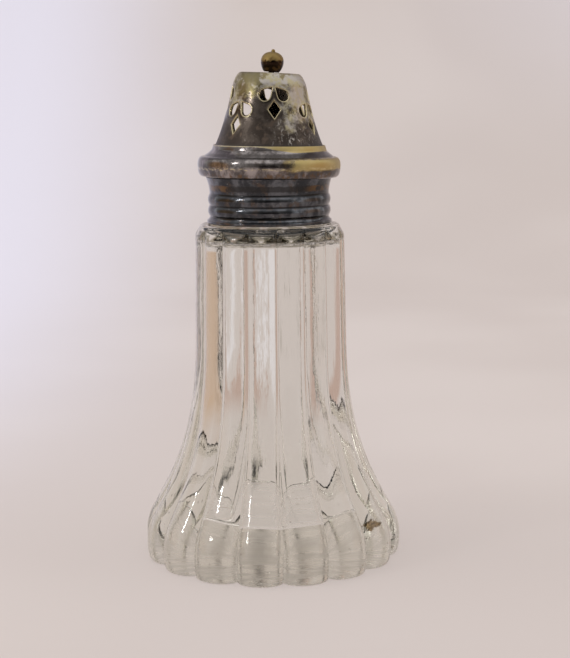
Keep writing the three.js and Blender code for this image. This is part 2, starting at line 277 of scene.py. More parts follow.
class Finish(Nodes):
    """A material's node tree round one principled shader."""

    def __init__(self, name):
        self.material = bpy.data.materials.new(name)
        self.material.use_nodes = True
        self.material.node_tree.nodes.clear()
        super().__init__(self.material.node_tree, "Object", MM)
        self.output = self.tree.nodes.new("ShaderNodeOutputMaterial")
        self.surface = self.node("BsdfPrincipled")
        self.put(self.surface, self.output.inputs["Surface"])

    def set(self, **values):
        """Set the shader's inputs, with underscores for spaces."""
        for key, value in values.items():
            self.put(value, self.surface.socket.node.inputs[key.replace("_", " ")])

    def bump(self, height, depth, strength=1.0):
        self.set(Normal=self.node("Bump", {"Strength": strength, "Distance": depth * MM, "Height": height}))


# Colours, linear
# The darkest colour, used only for painted shade: at the dome's foot and in the hollow under the girdle's
# ridge.
PAINTED_SHADE_DARK = (0.050, 0.044, 0.041)
BROWN_TARNISH = (0.105, 0.078, 0.060)
BLUE_TARNISH = (0.125, 0.13, 0.14)
GREY_SILVER = (0.165, 0.150, 0.140)
PALE_SILVER = (0.50, 0.465, 0.42)
WORN_CREAM = (0.50, 0.45, 0.29)
WORN_GOLD = (0.45, 0.35, 0.14)
RUST_BROWN = (0.13, 0.080, 0.042)
RIM_CREAM = (0.60, 0.52, 0.32)

# In the tables of the finishes, a noise is its size, detail, roughness, stretch, shift and distortion.
# A ramp or a place is from and to, with the values there if they aren't 0 and 1. Patches are a noise and
# a ramp, and an edge is a noise and its reach. A width is half of a band and its soft edge.
EVEN = (1, 1, 1)
PLATE_CLOUDS = (5, 6, 0.62, (1, 1, 0.7), 0.13, 0.4)
PLATE_FLECKS = (0.9, 4, 0.7, EVEN, 0.31)
PLATE_SCRATCHES = (0.35, 3, 0.7, (1, 1, 7), 0.07)
PLATE_NOISES = (PLATE_CLOUDS, PLATE_FLECKS, PLATE_SCRATCHES)
PLATE_BROWN = ((3.2, 5, 0.65, EVEN, 0.57), (0.54, 0.66, 0, 0.75))
CLOUD_RAMP = (0.42, 0.66)
FLECK_RAMP = (0.3, 0.7, -0.04, 0.04)
BRIGHT_RAMP = (0.64, 0.72, 0, 0.3)
ROUGH_CLOUD_RAMP = (0.35, 0.7)
ROUGH_SCRATCH_RAMP = (0.45, 0.75, -0.02, 0.04)
ROUGH_SPREAD = 0.05
ROUGH_WEAR = 0.32
CLOUD_RELIEF = 0.6
SCRATCH_RELIEF = 0.25
PLATE_RELIEF = 0.04
DULL_PLATE = 0.18
BRIGHT_PLATE = 0.07
COLLAR_PLATE = 0.06
BRASS_SKIN = 0.2


def plate_base(nodes, dark, grey):
    """Blotched dark tarnish over duller silver, with fine scratches; returns colour, clouds and scratches."""
    clouds, flecks, scratches = (nodes.noise(*table) for table in PLATE_NOISES)
    colour = nodes.layered(
        dark,
        (nodes.span(clouds + nodes.span(flecks, *FLECK_RAMP), *CLOUD_RAMP), grey),
        (nodes.patches(*PLATE_BROWN), BROWN_TARNISH),
        (nodes.span(flecks, *BRIGHT_RAMP), PALE_SILVER),
    )
    return colour, clouds, scratches


def plate_finish(nodes, colour, clouds, scratches, wear, smooth):
    """Sets colour, roughness and bump of a metal piece; wear is where it is rubbed."""
    rough = nodes.span(clouds, *ROUGH_CLOUD_RAMP, smooth, smooth + ROUGH_SPREAD)
    rough = rough + wear * ROUGH_WEAR + nodes.span(scratches, *ROUGH_SCRATCH_RAMP)
    nodes.set(Base_Color=colour, Roughness=rough, Metallic=1.0)
    nodes.bump(clouds * CLOUD_RELIEF + scratches * SCRATCH_RELIEF, PLATE_RELIEF)
    return nodes.material


DOME_TARNISH = (0.045, 0.036, 0.030)
DOME_GREY = (0.090, 0.074, 0.062)
DOME_BRASS = (0.20, 0.155, 0.05)
DOME_OLIVE = (0.15, 0.125, 0.055)
DOME_EDGE = ((4, 6, 0.68, EVEN, 0.9), 9)
CROWN_WEAR = (24.5, 29, 0, 0.85)
RIGHT_WEAR = (2.5, 8, 0, 0.8)
RIGHT_WEAR_HEIGHT = (14, 19)
LEFT_WEAR = (-10, -5.5, 0.7, 0)
LEFT_WEAR_HEIGHT = (19, 23)
PALE_TONES = ((2.4, 5, 0.65, EVEN, 0.2), (0.42, 0.60))
BRASS_TONES = ((4, 4, 0.6, EVEN, 0.75), (0.53, 0.63, 0, 0.8))
OLIVE_PLACE = (-6, 2.6, 1.6)
OLIVE_HEIGHT = (24.5, 26.5, 0, 0.85)
OLIVE_FRONT = (-2, -4)
RUB_MARKS = ((1.1, 6, 0.75, (1, 1, 0.45), 0.44, 1.2), (0.56, 0.66, 0, 0.75))
RUB_PLACE = (-1, 5)
RIM_STRENGTH = 0.9
# Painted shade at the dome's foot: from and to in height, with its strength at each.
DOME_FOOT_PAINTED_SHADE = (8.9, 10.4, 0.6, 0)
DOME_DULL_HEIGHT = (19, 15, 0, 0.8)


def dome_material():
    """Dark pierced dome, rubbed pale toward the crown, down its right side and along its piercings, with
    painted shade at its foot by the ridge.
    """
    nodes = Finish("tarnished_plate_dome")
    colour, clouds, scratches = plate_base(nodes, DOME_TARNISH, DOME_GREY)
    edge = nodes.uneven(*DOME_EDGE)
    height = nodes.z - SEAT_HEIGHT
    up = height + edge
    across = nodes.x + edge
    worn = nodes.any_of(
        nodes.span(up, *CROWN_WEAR),
        nodes.span(across, *RIGHT_WEAR) * nodes.span(up, *RIGHT_WEAR_HEIGHT),
        nodes.span(across, *LEFT_WEAR) * nodes.span(up, *LEFT_WEAR_HEIGHT),
    )
    pale = nodes.layered(
        PALE_SILVER,
        (nodes.patches(*PALE_TONES), WORN_CREAM),
        (nodes.patches(*BRASS_TONES), DOME_BRASS),
    )
    olive = nodes.band(across, *OLIVE_PLACE) * nodes.span(up, *OLIVE_HEIGHT)
    olive = olive * nodes.span(nodes.y, *OLIVE_FRONT)
    rubs = nodes.patches(*RUB_MARKS) * nodes.span(across, *RUB_PLACE)
    colour = nodes.layered(
        colour,
        (worn, pale),
        (olive, DOME_OLIVE),
        (rubs, PALE_SILVER),
        (nodes.node("Attribute", output="Fac", attribute_name=RIM_ATTRIBUTE) * RIM_STRENGTH, RIM_CREAM),
        # Painted shade: the dome's foot is darkened where it rises out of the ridge.
        (nodes.span(height, *DOME_FOOT_PAINTED_SHADE), PAINTED_SHADE_DARK),
    )
    dull = nodes.any_of(worn, nodes.span(height, *DOME_DULL_HEIGHT))
    return plate_finish(nodes, colour, clouds, scratches, dull, DULL_PLATE)


GIRDLE_TARNISH = (0.088, 0.079, 0.076)
GIRDLE_GREY = (0.33, 0.30, 0.29)
GIRDLE_EDGE = ((3, 6, 0.68, EVEN, 0.4), 7)
RIDGE_EDGE_SHARE = 0.03
RIDGE_WIDENING = (-5, 9, -1.05, 0.8)
RIDGE_SOFTNESS = 0.2
RIDGE_WEAR = (-12, 6, 0.5, 1)
# Painted shade in the hollow under the ridge: its drop below the ridge, its width, and its strength.
COVE_DROP = 2.3
COVE_WIDTH = (0.5, 0.6)
COVE_SHADE_STRENGTH = 0.8
BULGE_EDGE_SHARE = 0.12
BULGE_WEAR = (4, 10)
BULGE_WEAR_RISE = 0.5
BULGE_WEAR_WIDTH = (1.3, 0.9)
WORN_LINE_DROP = 0.6
WORN_LINE_WIDTH = (0.15, 0.4)
WORN_LINE_GAPS = ((1.4, 5, 0.7, (1, 1, 3), 0.15), (0.5, 0.58, 0, 0.7))
CREAM_TO_GOLD = (-4, 3)
GOLD_STRENGTH = 0.85
UNDERSIDE = (0.4, 1.5, 0.8, 0)
DRIPS = ((1.3, 4, 0.65, (1, 1, 0.4), 0.8), (0.5, 0.6))


def girdle_material():
    """The rounded shoulder: dark, with the plate rubbed to gold on the ridge and on its right side, and
    painted shade in the hollow under the ridge.
    """
    nodes = Finish("tarnished_plate_girdle")
    colour, clouds, scratches = plate_base(nodes, GIRDLE_TARNISH, GIRDLE_GREY)
    edge = nodes.uneven(*GIRDLE_EDGE)
    height = nodes.z - SEAT_HEIGHT
    across = nodes.x + edge
    reach = height + nodes.span(nodes.x, *RIDGE_WIDENING) + edge * RIDGE_EDGE_SHARE
    ridge = nodes.span(reach, LEDGE_HEIGHT, LEDGE_HEIGHT + RIDGE_SOFTNESS) * nodes.span(across, *RIDGE_WEAR)
    # Painted shade: the hollow just under the ridge is darkened.
    cove_shade = nodes.band(height, GIRDLE_RIDGE_HEIGHT - COVE_DROP, *COVE_WIDTH)
    above_bulge = height + edge * BULGE_EDGE_SHARE - GIRDLE_BULGE[1]
    bulge = nodes.band(above_bulge, BULGE_WEAR_RISE, *BULGE_WEAR_WIDTH) * nodes.span(across, *BULGE_WEAR)
    worn_line = nodes.band(above_bulge, -WORN_LINE_DROP, *WORN_LINE_WIDTH)
    worn_line = worn_line * nodes.patches(*WORN_LINE_GAPS)
    gold = nodes.any_of(bulge, ridge)
    colour = nodes.layered(
        colour,
        (cove_shade * COVE_SHADE_STRENGTH, PAINTED_SHADE_DARK),
        (gold * GOLD_STRENGTH, nodes.mix(nodes.span(nodes.x, *CREAM_TO_GOLD), RIM_CREAM, WORN_GOLD)),
        (worn_line, RIM_CREAM),
        (nodes.span(height, *UNDERSIDE) * nodes.patches(*DRIPS), RUST_BROWN),
    )
    return plate_finish(nodes, colour, clouds, scratches, gold, BRIGHT_PLATE)


COLLAR_TARNISH = (0.040, 0.042, 0.046)
COLLAR_PAINTED_SHADE = (0.030, 0.029, 0.028)
GROOVE_BLACK = (0.018, 0.017, 0.017)
COLLAR_PLASTER = (0.34, 0.29, 0.17)
TUBE_BRASS = (0.30, 0.225, 0.11)
GROOVE_WIDTH = (0.12, 0.45)
GROOVE_STRENGTH = 0.85
# Painted shade: a dark strip across the concave band below the cover; its uneven edge, height as a share,
# width and strength.
SHADE_EDGE = ((1.6, 6, 0.68, EVEN, 0.35), 0.5)
SHADE_HEIGHT_SHARE = 0.78
SHADE_WIDTH = (0.6, 0.5)
PAINTED_SHADE_STRENGTH = 0.75
RUST_PLACE = (10, 14, 0, 0.9)
RUST_CLOUDS = ((3, 4, 0.6, EVEN, 0.66), (0.42, 0.55))
COLLAR_STREAKS = ((1.6, 5, 0.7, (1, 1, 3), 0.22), (0.57, 0.68, 0, 0.5))
UNDER_COLLAR = (0.02, 0.12, 1, 0)
PLASTER_REACH = (19.6, 19.3)
IN_BORE = (0.2, 0)
UNDER_SHOULDER = (-0.3, -0.1, 1, 0)
ABOVE_SHOULDER = (-0.1, 0.2)
ON_TUBE = (0.4, 0.1)
TUBE_RUB_RAMP = (0.3, 0.6, 0.5, 0.95)


def collar_material():
    """Blue-grey tarnish, black in the grooves, with rusty patches on the band and a strip of painted shade
    across the band below the cover.
    """
    nodes = Finish("tarnished_plate_collar")
    colour, clouds, scratches = plate_base(nodes, COLLAR_TARNISH, BLUE_TARNISH)
    full = COLLAR_TOP - COLLAR_FOOT
    height = nodes.z - COLLAR_FOOT
    above = nodes.z - COLLAR_TOP
    away = nodes.from_axis()
    grooves = nodes.any_of(*[nodes.band(height, full * share, *GROOVE_WIDTH) for share in GROOVE_SHARES])
    # Painted shade across the band below the cover; the rust lies within this strip.
    uneven = height + nodes.uneven(*SHADE_EDGE)
    shade = nodes.band(uneven, full * SHADE_HEIGHT_SHARE, *SHADE_WIDTH)
    rust = shade * nodes.span(nodes.math("ABSOLUTE", nodes.x), *RUST_PLACE)
    rust = rust * nodes.patches(*RUST_CLOUDS)
    under = nodes.span(height, *UNDER_COLLAR) * nodes.span(away, *PLASTER_REACH)
    inside = nodes.any_of(nodes.span(away - COLLAR_BORE, *IN_BORE), under)
    inside = inside * nodes.span(above, *UNDER_SHOULDER)
    tube = nodes.span(above, *ABOVE_SHOULDER) * nodes.span(clouds, *TUBE_RUB_RAMP)
    colour = nodes.layered(
        colour,
        (nodes.patches(*COLLAR_STREAKS), GREY_SILVER),
        (shade * PAINTED_SHADE_STRENGTH, COLLAR_PAINTED_SHADE),
        (rust, RUST_BROWN),
        (grooves * GROOVE_STRENGTH, GROOVE_BLACK),
        (inside, COLLAR_PLASTER),
        (tube * nodes.span(away - TUBE_RADIUS, *ON_TUBE), TUBE_BRASS),
    )
    made = plate_finish(nodes, colour, clouds, scratches, 0.0, COLLAR_PLATE)
    nodes.set(Metallic=nodes.math("SUBTRACT", 1.0, inside))
    return made


BRASS_BROWN = (0.13, 0.075, 0.03)
BRASS_CLOUDS = (1.6, 4, 0.6, EVEN, 0.4)
BRASS_SCRATCHES = (0.3, 3, 0.7, (1, 1, 5), 0.17)
BRASS_EDGE = (BRASS_CLOUDS, 1.25)
BRASS_BROWN_RAMP = (0.52, 0.66, 0, 0.6)
# Brass finishes: upper and lower colour, the change's height above the cover's seat, and its softness
BRASSES = {
    "spring_brass": ((0.42, 0.31, 0.14), (0.30, 0.21, 0.10), 6, 4),
    # On the knob the near-black lower colour is painted shade on the underside of its ball.
    "turned_brass": ((0.25, 0.175, 0.065), (0.022, 0.013, 0.008), 34.95, 0.5),
    "nut_brass": ((0.45, 0.32, 0.13), (0.32, 0.22, 0.09), 30, 2),
}


def brass_material(name):
    """Browned brass, of one colour above a height and another below."""
    high, low, change, soft = BRASSES[name]
    nodes = Finish(name)
    clouds = nodes.noise(*BRASS_CLOUDS)
    scratches = nodes.noise(*BRASS_SCRATCHES)
    uneven = nodes.z - SEAT_HEIGHT + nodes.uneven(*BRASS_EDGE)
    share = nodes.span(uneven, change - soft, change + soft)
    colour = nodes.layered(low, (share, high), (nodes.span(clouds, *BRASS_BROWN_RAMP), BRASS_BROWN))
    return plate_finish(nodes, colour, clouds, scratches, share, BRASS_SKIN)


PLASTER_DARK = (0.42, 0.37, 0.29)
PLASTER_PALE = (0.66, 0.61, 0.52)
PLASTER_PITS = (0.8, 5, 0.7, EVEN, 0.2)
PLASTER_TONE_RAMP = (0.35, 0.65)
PLASTER_ROUGH_RAMP = (0.3, 0.7, 0.8, 0.97)
PLASTER_RELIEF = 0.15


def plaster_material():
    """Dry off-white plaster with pits."""
    nodes = Finish("plaster")
    pits = nodes.noise(*PLASTER_PITS)
    colour = nodes.mix(nodes.span(pits, *PLASTER_TONE_RAMP), PLASTER_DARK, PLASTER_PALE)
    nodes.set(Base_Color=colour, Roughness=nodes.span(pits, *PLASTER_ROUGH_RAMP))
    nodes.bump(pits, PLASTER_RELIEF)
    return nodes.material


GLASS_CLEAR = (0.985, 0.985, 0.975)
GLASS_TINT = (0.78, 0.76, 0.60)
GLASS_DENSITY = 7.5
GLASS_IOR = 1.38
GLASS_HAZE = ((3, 5, 0.65, EVEN, 0.5), (0.5, 0.7, 0.012, 0.05))
GROUND_CLOUDS = ((5, 3, 0.6, EVEN, 0.45), (0.35, 0.65, 0.20, 0.40))
GROUND_HEIGHT = (0.6, 0.9, 1, 0)
DIRT_DARK = (0.010, 0.004, 0.001)
DIRT_PALE = (0.22, 0.13, 0.05)
DIRT_TONES = ((0.7, 4, 0.7, EVEN, 0.1), (0.4, 0.6))
STAIN = (30.7, 14)
STAIN_FLATNESS = 1.7
STAIN_EDGE = ((1.3, 6, 0.68, EVEN, 0.62), 3.6)
STAIN_RAMP = (2.6, 3.4, 1, 0)
STAIN_FRONT = (-13, -16)
SPECKS = ((2.6, 3, 0.6, EVEN, 0.27), (0.665, 0.70, 0, 0.7))
SPECK_HEIGHT = (16, 10)
# Painted image of the collar's olive underside, as seen through the shoulder's bevel.
PAINTED_COLLAR_OLIVE = (0.16, 0.145, 0.07)
POINT_DROP = 0.3
POINT_SLOPE = 0.75
POINT_RAMP = (0.80, 0.92, 0.85, 0)
POINT_FOOT = (0.02, 0.1)
GLASS_WAVES = (9, 2, 0.4, (1, 1, 0.35), 0.3)
GLASS_RIPPLE = (2.4, 2, 0.5, (1, 1, 0.5), 0.8)
RIPPLE_RELIEF = 0.18
GLASS_STREAKS = (1.6, 3, 0.6, (1, 1, 0.05), 0.6)
STREAK_RELIEF = (18, 40, 0.02, 0.18)
GLASS_RELIEF = 0.16
GLASS_RELIEF_STRENGTH = 0.8


def painted_collar_points(nodes):
    """Where olive points are painted on the shoulder's bevel, one at the head of each valley: a painted image
    of the collar's underside seen through the glass.
    """
    valley = nodes.degrees(nodes.x, nodes.y * -1.0) - math.degrees(FIRST_VALLEY)
    valley = nodes.math("PINGPONG", valley, 180 / RIB_COUNT)
    up = nodes.span(nodes.z + POINT_DROP, SHOULDER_CORNER_HEIGHT, SHOULDER_HEIGHT, form="LINEAR")
    point = up + valley * (RIB_COUNT / 180 * POINT_SLOPE)
    return nodes.span(point, *POINT_RAMP) * nodes.span(up, *POINT_FOOT)


def glass_material():
    """Clear pressed glass: a little wavy, with a faint tint where it is thick and wear at the foot."""
    nodes = Finish("pressed_glass")
    ground = nodes.patches(*GROUND_CLOUDS) * nodes.span(nodes.z, *GROUND_HEIGHT)
    rough = nodes.patches(*GLASS_HAZE) + ground
    across, up = (nodes.math("ABSOLUTE", place - centre) for place, centre in zip((nodes.x, nodes.z), STAIN))
    uneven = across + up * STAIN_FLATNESS + nodes.uneven(*STAIN_EDGE)
    stain = nodes.span(uneven, *STAIN_RAMP) * nodes.span(nodes.y, *STAIN_FRONT)
    dirty = nodes.any_of(stain, nodes.patches(*SPECKS) * nodes.span(nodes.z, *SPECK_HEIGHT))
    dirt = nodes.mix(nodes.patches(*DIRT_TONES), DIRT_DARK, DIRT_PALE)
    # The olive points are a painted image of the collar seen through the glass; the dirt is real staining.
    colour = nodes.layered(GLASS_CLEAR, (painted_collar_points(nodes), PAINTED_COLLAR_OLIVE), (dirty, dirt))
    nodes.set(Base_Color=colour, Roughness=rough, Transmission_Weight=1.0, IOR=GLASS_IOR)
    tint = nodes.node("VolumeAbsorption", {"Color": GLASS_TINT, "Density": GLASS_DENSITY})
    nodes.put(tint, nodes.output.inputs["Volume"])
    streaks = nodes.noise(*GLASS_STREAKS) * nodes.span(nodes.z, *STREAK_RELIEF)
    relief = nodes.noise(*GLASS_WAVES) + nodes.noise(*GLASS_RIPPLE) * RIPPLE_RELIEF + streaks
    nodes.bump(relief, GLASS_RELIEF, GLASS_RELIEF_STRENGTH)
    return nodes.material


# Glass body, as in the solids that it replaces
GLASS_COLUMNS_PER_RIB = 20
GATHERING = 1.7
CREASE_SHARE = 0.4
CREASE_POWER = 6
RIB_COUNT = 16
FIRST_VALLEY = math.radians(5)
RIB_DEPTH_TOP = 1.2
RIB_DEPTH_FOOT = 4.2
BASE_RADIUS = 39.5
FOOT_RADIUS = 41.2
BASE_CLEARANCE = 0.04
BASE_HOLLOW = 0.5
BASE_MIDDLE_RADIUS = 0.5
BASE_EDGE_SHARE = 1.6
FOOT_BULGE_HEIGHT = 6.2
FLARE_FOOT = (39.5, 13.6)
WAIST = (24.2, 66)
FLARE_SHARES = ((0.66, 0.33), (0.94, 0.56))
SHOULDER_RADIUS = 23.6
SHOULDER_CORNER_HEIGHT = 102.0
SHOULDER_TOP_RADIUS = 21.0
SHOULDER_HEIGHT = 106.4
BEVEL_RISE = 0.8
BEVEL_INSET = 0.6
BEVEL_EASE = 0.2
NECK_RADIUS = 15.2
NECK_ROUND = 0.8
MOUTH_RADIUS = 12.6
CAVITY_TOP = (18.6, 98)
CAVITY_FOOT_RADIUS = 21.6
CAVITY_FLOOR_HEIGHT = 11.0
CAVITY_FLOOR_ROUND = 2.5
CAVITY_MIDDLE_RADIUS = 4.0
CAVITY_EASE_SHARE = 0.45


def shoulder_bevel():
    """From the corner of the shoulder up its bevel to the top, both edges eased."""
    corner = (SHOULDER_RADIUS, SHOULDER_CORNER_HEIGHT + BEVEL_RISE)
    edge = (SHOULDER_TOP_RADIUS + BEVEL_INSET, SHOULDER_HEIGHT)
    corner_end = between(corner, edge, BEVEL_EASE)
    edge_start = between(corner, edge, 1 - BEVEL_EASE)
    return joined(
        bend((SHOULDER_RADIUS, SHOULDER_CORNER_HEIGHT - BEVEL_RISE), corner, corner_end, 6),
        line(corner_end, edge_start, 8),
        bend(edge_start, edge, (SHOULDER_TOP_RADIUS - BEVEL_INSET, SHOULDER_HEIGHT), 6),
    )


def glass_body():
    """The ribbed body: rounded crests with narrow valleys, deepening down the flare, over a solid bottom."""
    neck_top = NECK_HIGH.z / MM
    bulge = (FOOT_RADIUS, FOOT_BULGE_HEIGHT)
    base = (BASE_RADIUS, BASE_CLEARANCE)
    hollow_edge = (BASE_RADIUS - RIB_DEPTH_FOOT * BASE_EDGE_SHARE, BASE_CLEARANCE)
    hollow_top = BASE_CLEARANCE + BASE_HOLLOW
    outside = joined(
        bend((BASE_MIDDLE_RADIUS, hollow_top), (hollow_edge[0] / 2, hollow_top), hollow_edge, 6),
        base,
        bend(base, (FOOT_RADIUS, BASE_CLEARANCE), bulge, 10),
        bend(bulge, (FOOT_RADIUS, (FOOT_BULGE_HEIGHT + FLARE_FOOT[1]) / 2), FLARE_FOOT, 8),
        flared(FLARE_FOOT, WAIST, FLARE_SHARES, 30),
        line(WAIST, (SHOULDER_RADIUS, SHOULDER_CORNER_HEIGHT), 8),
        shoulder_bevel(),
    )
    roof_height = SHOULDER_HEIGHT - (SHOULDER_TOP_RADIUS - CAVITY_TOP[0])
    floor_round_top = (CAVITY_FOOT_RADIUS, CAVITY_FLOOR_HEIGHT + CAVITY_FLOOR_ROUND)
    floor_edge = (CAVITY_FOOT_RADIUS - CAVITY_FLOOR_ROUND, CAVITY_FLOOR_HEIGHT)
    neck = joined(
        (SHOULDER_TOP_RADIUS - BEVEL_INSET, SHOULDER_HEIGHT),
        (NECK_RADIUS, SHOULDER_HEIGHT),
        (NECK_RADIUS, neck_top),
        (MOUTH_RADIUS, neck_top),
        (MOUTH_RADIUS, roof_height),
    )
    inside = joined(
        rounded(neck, NECK_ROUND, 4, closed=False)[1:],
        bend((MOUTH_RADIUS, roof_height), (CAVITY_TOP[0], roof_height), CAVITY_TOP, 8),
        bend(CAVITY_TOP, (CAVITY_TOP[0], CAVITY_TOP[1] * CAVITY_EASE_SHARE), floor_round_top, 20),
        bend(floor_round_top, (CAVITY_FOOT_RADIUS, CAVITY_FLOOR_HEIGHT), floor_edge, 8),
        line(floor_edge, (CAVITY_MIDDLE_RADIUS, CAVITY_FLOOR_HEIGHT), 3),
    )
    outline = joined((0, hollow_top), outside, inside, (0, CAVITY_FLOOR_HEIGHT))
    last_ribbed = len(outside)

    def setback(row, column):
        if row > last_ribbed:
            return 0.0
        radius = outline[row][0]
        from_crest = abs(2 * across[column % len(across)] - 1)
        share = max(0.0, (radius - SHOULDER_RADIUS) / (FOOT_RADIUS - SHOULDER_RADIUS))
        form = (1 - CREASE_SHARE) * from_crest**2 + CREASE_SHARE * from_crest**CREASE_POWER
        depth = (RIB_DEPTH_TOP + (RIB_DEPTH_FOOT - RIB_DEPTH_TOP) * share) * form
        return max(0.0, depth - max(0.0, SHOULDER_RADIUS - radius))

    # Across a rib the columns stand closer near its valleys, where it bends most
    half = GLASS_COLUMNS_PER_RIB // 2
    gathered = 0.5 * (1 - np.linspace(1, 0, half + 1) ** GATHERING)
    across = np.concatenate([0.5 - gathered[::-1], 0.5 + gathered[1:-1]])
    angles = FIRST_VALLEY + (np.arange(RIB_COUNT)[:, None] + across).ravel() * 2 * math.pi / RIB_COUNT
    return turned("ribbed_glass", outline, angles, glass_material(), setback)


# Plaster and collar
COLLAR_TOP_RADIUS = 19.9
COLLAR_WAIST_RADIUS = 18.75
COLLAR_RIM_RADIUS = 19.6
BEAD_PROUD = 0.55
TUBE_RADIUS = 17.3
TUBE_HEIGHT = 5.2
BAND_EASE_SHARE = 0.48
RIM_SHARE = 0.1
GROOVE_SHARES = (0.15, 0.39, 0.63)
COLLAR_ROUND = 0.22
PLASTER_ROUND = 0.15
METAL_COLUMNS = 192
PLASTER_COLUMNS = 128

COLLAR_FOOT = COLLAR_LOW.z / MM
COLLAR_TOP = COLLAR_HIGH.z / MM - TUBE_HEIGHT
COLLAR_BORE = COLLAR_WAIST_RADIUS - SHEET
TUBE_BORE = TUBE_RADIUS - SHEET


def bead(from_height, to_height):
    middle = (from_height + to_height) / 2
    pull = (COLLAR_WAIST_RADIUS + 2 * BEAD_PROUD, middle)
    return bend((COLLAR_WAIST_RADIUS, from_height), pull, (COLLAR_WAIST_RADIUS, to_height), 12)


def collar():
    """The ringed collar: flared rim, two beads, a concave band and the tube that the cover sits on."""
    waist = COLLAR_WAIST_RADIUS
    full = COLLAR_TOP - COLLAR_FOOT
    rim, low, middle, band = (COLLAR_FOOT + full * share for share in (RIM_SHARE, *GROOVE_SHARES))
    band_pull = (waist, band + (COLLAR_TOP - band) * BAND_EASE_SHARE)
    outline = joined(
        (COLLAR_BORE, COLLAR_FOOT),
        (COLLAR_RIM_RADIUS, COLLAR_FOOT),
        bend((COLLAR_RIM_RADIUS, rim - BEAD_PROUD), (waist, rim), (waist, low), 8),
        bead(low, middle),
        bead(middle, band),
        bend((waist, band), band_pull, (COLLAR_TOP_RADIUS, COLLAR_TOP), 14),
        (TUBE_RADIUS, COLLAR_TOP),
        (TUBE_RADIUS, COLLAR_TOP + TUBE_HEIGHT),
        (TUBE_BORE, COLLAR_TOP + TUBE_HEIGHT),
        (TUBE_BORE, COLLAR_TOP - SHEET),
        (COLLAR_BORE, COLLAR_TOP - SHEET),
    )
    outline = rounded(outline, COLLAR_ROUND, 4)
    return turned("ringed_collar", outline, full_turn(METAL_COLUMNS), collar_material())


def plaster_bed():
    """The ring of plaster between the neck and the collar."""
    foot, top = (corner.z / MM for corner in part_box("plaster_bed"))
    bore = NECK_RADIUS + SEAT_GAP
    step = COLLAR_TOP - SHEET - SEAT_GAP
    outline = joined(
        (bore, foot),
        (COLLAR_BORE - SEAT_GAP, foot),
        (COLLAR_BORE - SEAT_GAP, step),
        (TUBE_BORE - SEAT_GAP, step),
        (TUBE_BORE - SEAT_GAP, top),
        (bore, top),
    )
    outline = rounded(outline, PLASTER_ROUND, 3)
    return turned("plaster_ring", outline, full_turn(PLASTER_COLUMNS), plaster_material())


# Cover: heights from the girdle's floor, whose skirt comes down over the collar's top
SKIRT_DROP = 0.7
SKIRT_WALL = 0.65
BULGE_PROUD = 1.55
BULGE_HEIGHT = 2.9
SHOULDER_IN = 2.0
SHOULDER_RISE = 2.7
RIDGE_IN = 2.5
RIDGE_RISE = 2.7
SKIRT_BORE = COLLAR_TOP_RADIUS + SEAT_GAP + SKIRT_DROP * math.sin(COVER_LEAN)
GIRDLE_UNDER_RADIUS = SKIRT_BORE + SKIRT_WALL
GIRDLE_BULGE = (GIRDLE_UNDER_RADIUS + BULGE_PROUD, BULGE_HEIGHT)
GIRDLE_SHOULDER = (GIRDLE_BULGE[0] - SHOULDER_IN, GIRDLE_BULGE[1] + SHOULDER_RISE)
GIRDLE_RIDGE_RADIUS = GIRDLE_SHOULDER[0] - RIDGE_IN
GIRDLE_RIDGE_HEIGHT = GIRDLE_SHOULDER[1] + RIDGE_RISE
GIRDLE_ROUND = 0.2
RIDGE_LIP = 0.35
RIDGE_LIP_HEIGHT = 0.5
RIDGE_STAND = 0.8
RIDGE_LEAN_IN = 0.42
SHOULDER_EASE_SHARE = 0.8
SLEEVE_CLEARANCE = 0.35
SLEEVE_WALL = 0.6
SLEEVE_BORE = TUBE_RADIUS + SLEEVE_CLEARANCE
SLEEVE_RADIUS = SLEEVE_BORE + SLEEVE_WALL
GIRDLE_MOUTH = SLEEVE_RADIUS + SEAT_GAP
LEDGE_HEIGHT = GIRDLE_RIDGE_HEIGHT - RIDGE_LIP_HEIGHT
DOME_FOOT_RADIUS = GIRDLE_RIDGE_RADIUS - RIDGE_LIP - SEAT_GAP
DOME_FOOT_HEIGHT = LEDGE_HEIGHT + SEAT_GAP


def seated(piece):
    """A piece of the cover put in its place on the collar, with its lean."""
    piece.data.transform(COVER_PLACE)
    return piece


def girdle_skin(wall, foot, parts):
    under = (GIRDLE_UNDER_RADIUS, foot)
    bulge = (GIRDLE_BULGE[0] - wall, GIRDLE_BULGE[1])
    shoulder = (GIRDLE_SHOULDER[0] - wall, GIRDLE_SHOULDER[1] - wall / 2)
    ridge = (GIRDLE_RIDGE_RADIUS - wall, LEDGE_HEIGHT - wall)
    eased = shoulder[1] + (ridge[1] - shoulder[1]) * SHOULDER_EASE_SHARE
    return joined(
        bend(under, (bulge[0], foot), bulge, parts),
        bend(bulge, (bulge[0], shoulder[1]), shoulder, parts),
        bend(shoulder, (ridge[0], eased), ridge, parts),
    )


